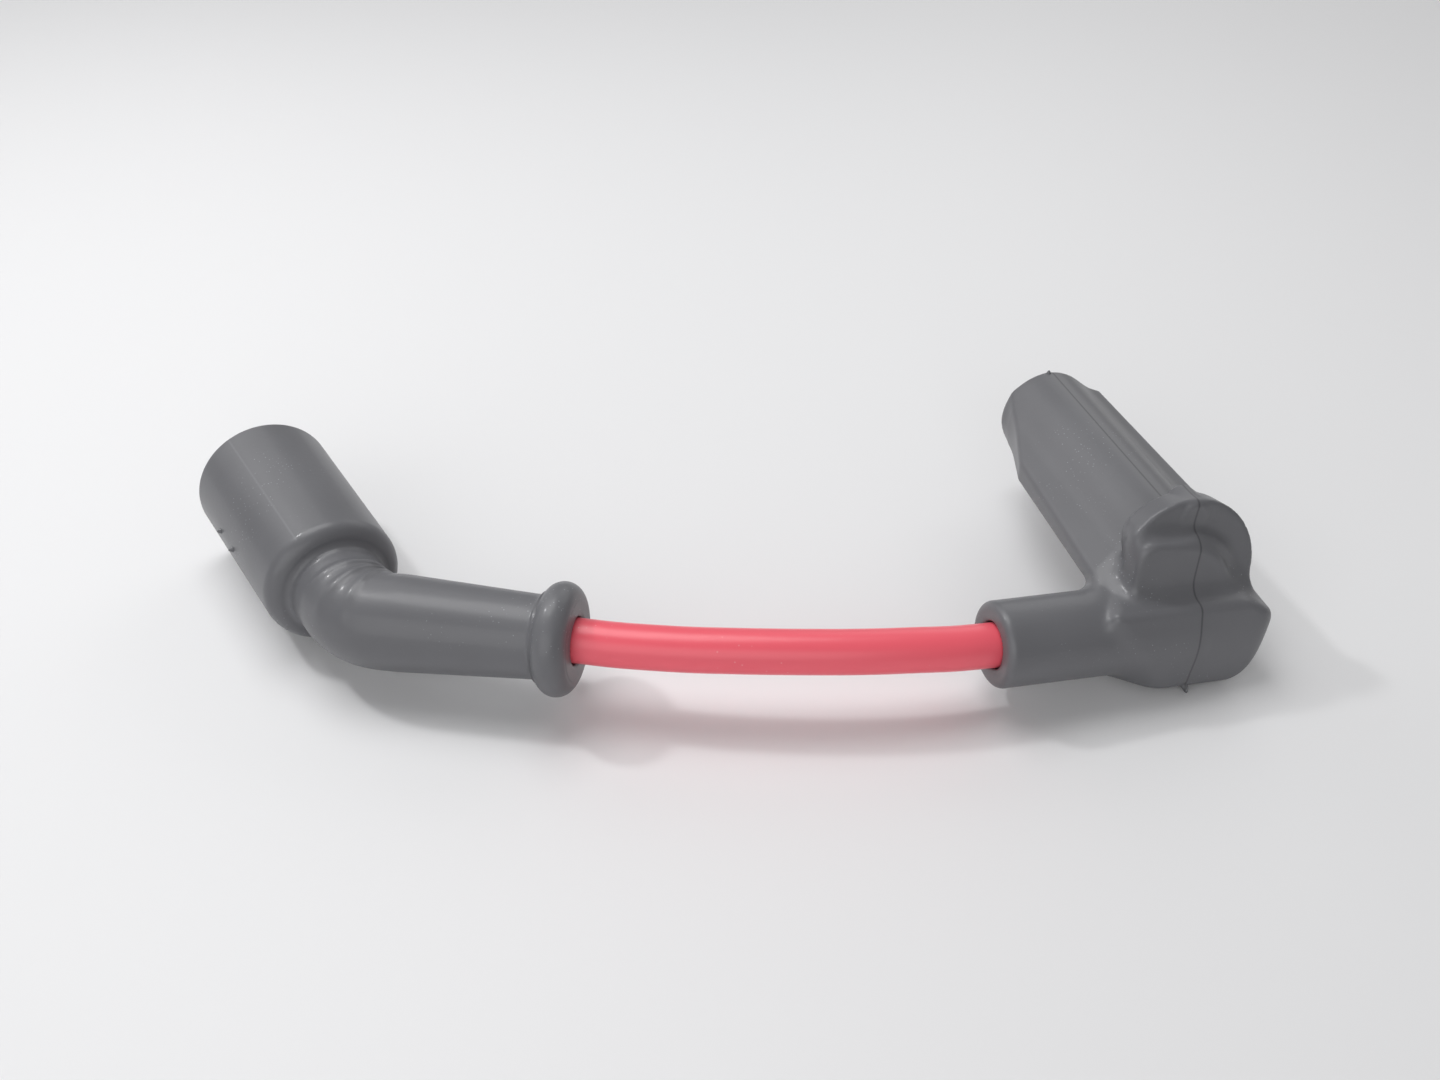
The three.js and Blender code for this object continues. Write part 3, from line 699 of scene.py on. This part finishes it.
def doing(nodes, operation, kind="ShaderNodeMath"):
    """A node that does one operation."""
    node = nodes.new(kind)
    node.operation = operation
    return node


def node_group(name, inputs, outputs):
    """A new shader node group with its input and output nodes."""
    group = bpy.data.node_groups.new(name, "ShaderNodeTree")
    for label, kind, value in inputs:
        socket = group.interface.new_socket(name=label, in_out="INPUT", socket_type=kind)
        if value is not None:
            socket.default_value = value
    for label, kind in outputs:
        group.interface.new_socket(name=label, in_out="OUTPUT", socket_type=kind)
    return group, group.nodes.new("NodeGroupInput"), group.nodes.new("NodeGroupOutput")


def speck_group():
    """Specks: a mask of small dots, from cells whose centre is near, thinned by a slower noise."""
    group, given, made = node_group(
        "specks",
        [("Scale", "NodeSocketFloat", 900.0), ("Amount", "NodeSocketFloat", 0.5)],
        [("Mask", "NodeSocketFloat")],
    )
    nodes, links = group.nodes, group.links
    place = nodes.new("ShaderNodeTexCoord")
    cells = nodes.new("ShaderNodeTexVoronoi")
    cloud = with_inputs(nodes.new("ShaderNodeTexNoise"), Scale=SPECK_CLOUD_SCALE)
    near = with_inputs(nodes.new("ShaderNodeMapRange"), From_Min=SPECK_RIM, From_Max=SPECK_HEART)
    thin = with_inputs(nodes.new("ShaderNodeMapRange"), From_Min=SPECK_NONE, From_Max=SPECK_ALL)
    both = doing(nodes, "MULTIPLY")
    strength = doing(nodes, "MULTIPLY")
    links.new(place.outputs["Object"], cells.inputs["Vector"])
    links.new(place.outputs["Object"], cloud.inputs["Vector"])
    links.new(given.outputs["Scale"], cells.inputs["Scale"])
    links.new(cells.outputs["Distance"], near.inputs["Value"])
    links.new(cloud.outputs["Fac"], thin.inputs["Value"])
    links.new(near.outputs["Result"], both.inputs[0])
    links.new(thin.outputs["Result"], both.inputs[1])
    links.new(both.outputs["Value"], strength.inputs[0])
    links.new(given.outputs["Amount"], strength.inputs[1])
    links.new(strength.outputs["Value"], made.inputs["Mask"])
    return group


def seam_group():
    """A mould seam: a mask of the places close to a plane, given by its normal and its distance from the
    origin, and beyond a start that is counted along another direction."""
    group, given, made = node_group(
        "mould_seam",
        [
            ("Normal", "NodeSocketVector", None), ("Distance", "NodeSocketFloat", 0.0),
            ("Half Width", "NodeSocketFloat", 0.0003), ("Run", "NodeSocketVector", None),
            ("Start", "NodeSocketFloat", -1.0),
        ],
        [("Mask", "NodeSocketFloat")],
    )
    nodes, links = group.nodes, group.links
    place = nodes.new("ShaderNodeTexCoord")
    dot = doing(nodes, "DOT_PRODUCT", "ShaderNodeVectorMath")
    away = doing(nodes, "SUBTRACT")
    size = doing(nodes, "ABSOLUTE")
    mask = with_inputs(nodes.new("ShaderNodeMapRange"), From_Min=0.0, To_Min=1.0, To_Max=0.0)
    mask.interpolation_type = "SMOOTHSTEP"
    run = doing(nodes, "DOT_PRODUCT", "ShaderNodeVectorMath")
    beyond = doing(nodes, "GREATER_THAN")
    both = doing(nodes, "MULTIPLY")
    links.new(place.outputs["Object"], dot.inputs[0])
    links.new(given.outputs["Normal"], dot.inputs[1])
    links.new(dot.outputs["Value"], away.inputs[0])
    links.new(given.outputs["Distance"], away.inputs[1])
    links.new(away.outputs["Value"], size.inputs[0])
    links.new(size.outputs["Value"], mask.inputs["Value"])
    links.new(given.outputs["Half Width"], mask.inputs["From Max"])
    links.new(place.outputs["Object"], run.inputs[0])
    links.new(given.outputs["Run"], run.inputs[1])
    links.new(run.outputs["Value"], beyond.inputs[0])
    links.new(given.outputs["Start"], beyond.inputs[1])
    links.new(mask.outputs["Result"], both.inputs[0])
    links.new(beyond.outputs["Value"], both.inputs[1])
    links.new(both.outputs["Value"], made.inputs["Mask"])
    return group


SPECKS = speck_group()
SEAM = seam_group()


def new_material(name, color, roughness, metallic=0.0):
    """A material with its shader's own constants set, and the shader."""
    material = bpy.data.materials.new(name)
    material.use_nodes = True
    shader = material.node_tree.nodes["Principled BSDF"]
    with_inputs(shader, Base_Color=(*color, 1), Roughness=roughness, Metallic=metallic)
    return material, shader


def use_group(material, group, **values):
    """A node that uses a group, with its inputs set by name."""
    node = material.node_tree.nodes.new("ShaderNodeGroup")
    node.node_tree = group
    return with_inputs(node, **values)


def noise(material, **values):
    """The value of a noise texture in the piece's own space, with its inputs set by name."""
    nodes = material.node_tree.nodes
    place = nodes.new("ShaderNodeTexCoord")
    texture = with_inputs(nodes.new("ShaderNodeTexNoise"), **values)
    material.node_tree.links.new(place.outputs["Object"], texture.inputs["Vector"])
    return texture.outputs["Fac"]


def mixed(material, mask, low, high):
    """A colour that goes from low to high as the mask goes from 0 to 1."""
    mix = material.node_tree.nodes.new("ShaderNodeMix")
    mix.data_type = "RGBA"
    material.node_tree.links.new(mask, mix.inputs["Factor"])
    for socket, value in ((mix.inputs["A"], low), (mix.inputs["B"], high)):
        if hasattr(value, "is_output"):
            material.node_tree.links.new(value, socket)
        else:
            socket.default_value = (*value, 1)
    return mix.outputs["Result"]


def bumped(material, shader, height, strength, distance):
    """Tilts the shader's normal as a fine relief of the given height would."""
    links = material.node_tree.links
    bump = with_inputs(material.node_tree.nodes.new("ShaderNodeBump"), Strength=strength, Distance=distance)
    links.new(height, bump.inputs["Height"])
    links.new(bump.outputs["Normal"], shader.inputs["Normal"])


def uneven(material, shader, mask, low, high):
    """Roughness that goes from low to high as the mask goes from 0 to 1."""
    links = material.node_tree.links
    spread = with_inputs(material.node_tree.nodes.new("ShaderNodeMapRange"), To_Min=low, To_Max=high)
    links.new(mask, spread.inputs["Value"])
    links.new(spread.outputs["Result"], shader.inputs["Roughness"])


def shade(color, factor):
    """A colour made lighter or darker by a factor."""
    return tuple(factor * c for c in color)


# %% [markdown]
# ## The rubber
# Each boot has its own seam, where the halves of its mould met: on the head it is a faint light line beside
# the top, on the coil boot a dark one along the middle of the tower. Distances in a shader are in metres.

# %% Rubber of the boots
BOOT_COLOR = (0.127, 0.128, 0.138)
BOOT_ROUGHNESS = (0.4, 0.52)
BOOT_DRIFT = (0.86, 1.14)
DUST_SHADE = 3.2
PLUG_SEAM_SHADE = 1.2
COIL_SEAM_SHADE = 0.48
PLUG_SEAM_TURN = math.radians(18)
SEAM_HALF_WIDTH = 0.00035


def rubber(name, color, seam_normal, seam_at, seam_shade, **run):
    """Moulded rubber: a slow drift of tone, dust specks, a seam of its own shade and a fine pebble in the
    normal."""
    material, shader = new_material(name, color, BOOT_ROUGHNESS[0])
    with_inputs(shader, Coat_Weight=0.2, Coat_Roughness=0.17)
    drift = noise(material, Scale=45, Detail=5)
    tone = mixed(material, drift, shade(color, BOOT_DRIFT[0]), shade(color, BOOT_DRIFT[1]))
    specks = use_group(material, SPECKS, Scale=1100.0, Amount=0.5)
    dusty = mixed(material, specks.outputs["Mask"], tone, shade(color, DUST_SHADE))
    seam = use_group(
        material, SEAM, Normal=tuple(seam_normal), Distance=seam_at / 1000, Half_Width=SEAM_HALF_WIDTH, **run
    )
    seamed = mixed(material, seam.outputs["Mask"], dusty, shade(color, seam_shade))
    material.node_tree.links.new(seamed, shader.inputs["Base Color"])
    uneven(material, shader, drift, *BOOT_ROUGHNESS)
    bumped(material, shader, noise(material, Scale=900, Detail=3), strength=0.12, distance=0.0002)
    return material


plug_seam = math.cos(PLUG_SEAM_TURN) * head_right + math.sin(PLUG_SEAM_TURN) * plug_up
plug_rubber = rubber(
    "plug_rubber", BOOT_COLOR, plug_seam, float(plug_elbow @ plug_seam), PLUG_SEAM_SHADE,
    Run=tuple(head_along), Start=float(plug_elbow @ head_along + SHOULDER_REACH + 2) / 1000,
)
plug_boot.data.materials.append(plug_rubber)
coil_rubber = rubber(
    "coil_rubber", BOOT_COLOR, coil_along, float(coil_corner @ coil_along), COIL_SEAM_SHADE
)
coil_boot.data.materials.append(coil_rubber)

# %% [markdown]
# ## Silicone, inner layers and metal
# The wire is the one bright colour. What lies hidden inside gets plain finishes of its own, so that a cut
# or opened model looks right too.

# %% Silicone, inner layers and metal
SILICONE_COLOR = (0.86, 0.115, 0.155)
SILICONE_DUST = (0.9, 0.4, 0.42)
METAL_STRETCH = (1, 1, 12)


def silicone():
    """Red silicone: smooth and a little glossy, with dust on it and a soft unevenness in the normal."""
    material, shader = new_material("red_silicone", SILICONE_COLOR, roughness=0.34)
    with_inputs(shader, Coat_Weight=0.12, Coat_Roughness=0.25)
    specks = use_group(material, SPECKS, Scale=700.0, Amount=0.35)
    dusty = mixed(material, specks.outputs["Mask"], SILICONE_COLOR, SILICONE_DUST)
    material.node_tree.links.new(dusty, shader.inputs["Base Color"])
    bumped(material, shader, noise(material, Scale=260), strength=0.08, distance=0.0003)
    return material


def drawn_metal(name, color, roughness):
    """Bright sheet or wire: metal with a fine, stretched unevenness in its roughness."""
    material, shader = new_material(name, color, roughness, metallic=1.0)
    nodes, links = material.node_tree.nodes, material.node_tree.links
    place = nodes.new("ShaderNodeTexCoord")
    stretch = with_inputs(nodes.new("ShaderNodeMapping"), Scale=METAL_STRETCH)
    grain = with_inputs(nodes.new("ShaderNodeTexNoise"), Scale=500)
    links.new(place.outputs["Object"], stretch.inputs["Vector"])
    links.new(stretch.outputs["Vector"], grain.inputs["Vector"])
    uneven(material, shader, grain.outputs["Fac"], roughness - 0.08, roughness + 0.1)
    return material


def matt_layer(name, color, roughness):
    """A plain inner layer: one colour with a slight drift of tone."""
    material, shader = new_material(name, color, roughness)
    tone = mixed(material, noise(material, Scale=300), shade(color, 0.85), shade(color, 1.1))
    material.node_tree.links.new(tone, shader.inputs["Base Color"])
    return material


jacket.data.materials.append(silicone())
insulation.data.materials.append(matt_layer("pale_insulation", (0.69, 0.66, 0.58), roughness=0.6))
core.data.materials.append(matt_layer("carbon_core", (0.012, 0.012, 0.013), roughness=0.7))
terminal_metal = drawn_metal("terminal_metal", (0.68, 0.68, 0.67), roughness=0.28)
spring_metal = drawn_metal("spring_metal", (0.45, 0.46, 0.47), roughness=0.32)
for name, metal, slot_name in (
    ("plug_terminal", terminal_metal, "terminal_steel"), ("coil_terminal", terminal_metal, "terminal_steel"),
    ("plug_snap_spring", spring_metal, "spring_steel"), ("coil_snap_spring", spring_metal, "spring_steel"),
):
    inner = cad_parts[name]
    inner.data.materials.clear()
    inner.data.materials.append(metal)
print("finishes", [m.name for m in bpy.data.materials])

# %% [markdown]
# ## Table and light
# A plain pale table in a bright room. A wide panel in front makes the faces turned to the camera as light
# as the tops, a panel overhead and a little behind drops the shadow below the wire, a small lamp on the
# left makes the short crisp highlights, and two wide weak panels far back, like windows, put the sheen on
# the wings.

# %% Table and light
TABLE_COLOR = (0.79, 0.79, 0.80)
TABLE_SIZE = 6
ROOM_LIGHT = 0.25
LIGHTS = {
    "overhead": dict(place=(-0.12, 0.14, 0.6), width=0.42, depth=0.34, power=1.8),
    "lamp": dict(place=(-0.42, 0.17, 0.53), width=0.06, depth=0.05, power=1.0),
    "left window": dict(place=(-0.6, 0.6, 0.45), width=0.8, depth=0.6, power=1.0),
    "right window": dict(place=(0.45, 0.7, 0.45), width=0.8, depth=0.5, power=1.2),
    "front": dict(place=(-0.25, -0.8, 0.42), width=1.2, depth=0.7, power=3.6),
}


def panel(name, place, width, depth, power):
    """A rectangular light that faces the middle of the scene."""
    data = bpy.data.lights.new(name, "AREA")
    data.shape = "RECTANGLE"
    data.size, data.size_y, data.energy = width, depth, power
    light = bpy.data.objects.new(name, data)
    light.location = place
    light.rotation_euler = (-Vector(place)).to_track_quat("-Z", "Y").to_euler()
    bpy.context.scene.collection.objects.link(light)


bpy.ops.mesh.primitive_plane_add(size=TABLE_SIZE, location=(0, 0, 0))
table = bpy.context.object
table.name = "table"
table_material, _ = new_material("table_white", TABLE_COLOR, roughness=0.55)
table.data.materials.append(table_material)

world = bpy.data.worlds.new("room")
bpy.context.scene.world = world
world.use_nodes = True
with_inputs(world.node_tree.nodes["Background"], Color=(1, 1, 1, 1), Strength=ROOM_LIGHT)
for name, light in LIGHTS.items():
    panel(name, **light)
bpy.context.scene.view_settings.view_transform = "Standard"
